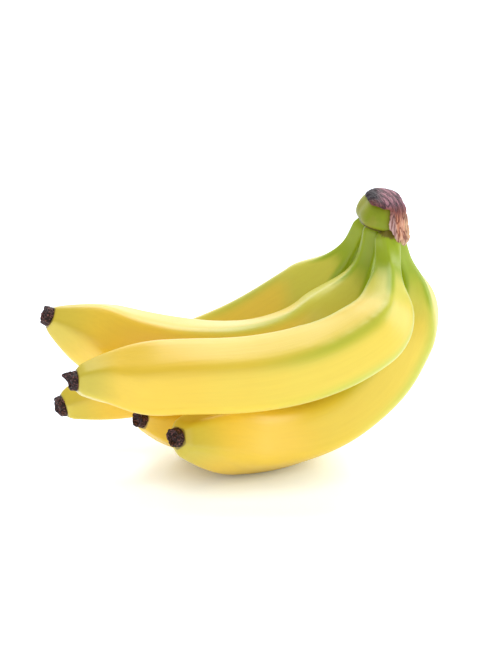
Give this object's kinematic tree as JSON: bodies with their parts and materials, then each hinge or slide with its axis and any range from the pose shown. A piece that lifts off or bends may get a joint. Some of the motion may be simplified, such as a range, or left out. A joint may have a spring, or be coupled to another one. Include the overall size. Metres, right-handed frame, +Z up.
{
  "type": "bunch of bananas",
  "caption": "Bunch of ripe yellow bananas with green necks, joined at one crown, curved and lying on the bellies of its lower fruits.",
  "frame": {"origin": "on the table, under the middle of the bunch's box", "axes": "+Z up; +X towards the crown, -X towards the flower ends; -Y is the front, the side that the picture shows"},
  "size_m": [0.1974, 0.1426, 0.1405],
  "materials": {
    "peel": "waxy yellow banana peel with a soft satin gloss, green at the necks and flower ends",
    "green_crown": "smooth waxy olive green stem tissue",
    "dried_stalk": "dry, matte, fibrous purple-brown to tan cut stalk",
    "dried_flower": "dry, matte, rough dark purple-brown"
  },
  "bodies": {
    "root": {"banana_upper_front": "peel", "banana_upper_middle": "peel", "banana_upper_back": "peel", "banana_lower_front": "peel", "banana_lower_back": "peel", "flower_end_upper_front": "dried_flower", "flower_end_upper_middle": "dried_flower", "flower_end_upper_back": "dried_flower", "flower_end_lower_front": "dried_flower", "flower_end_lower_back": "dried_flower", "crown": "green_crown", "stalk_stump": "dried_stalk"}
  },
  "joints": []
}
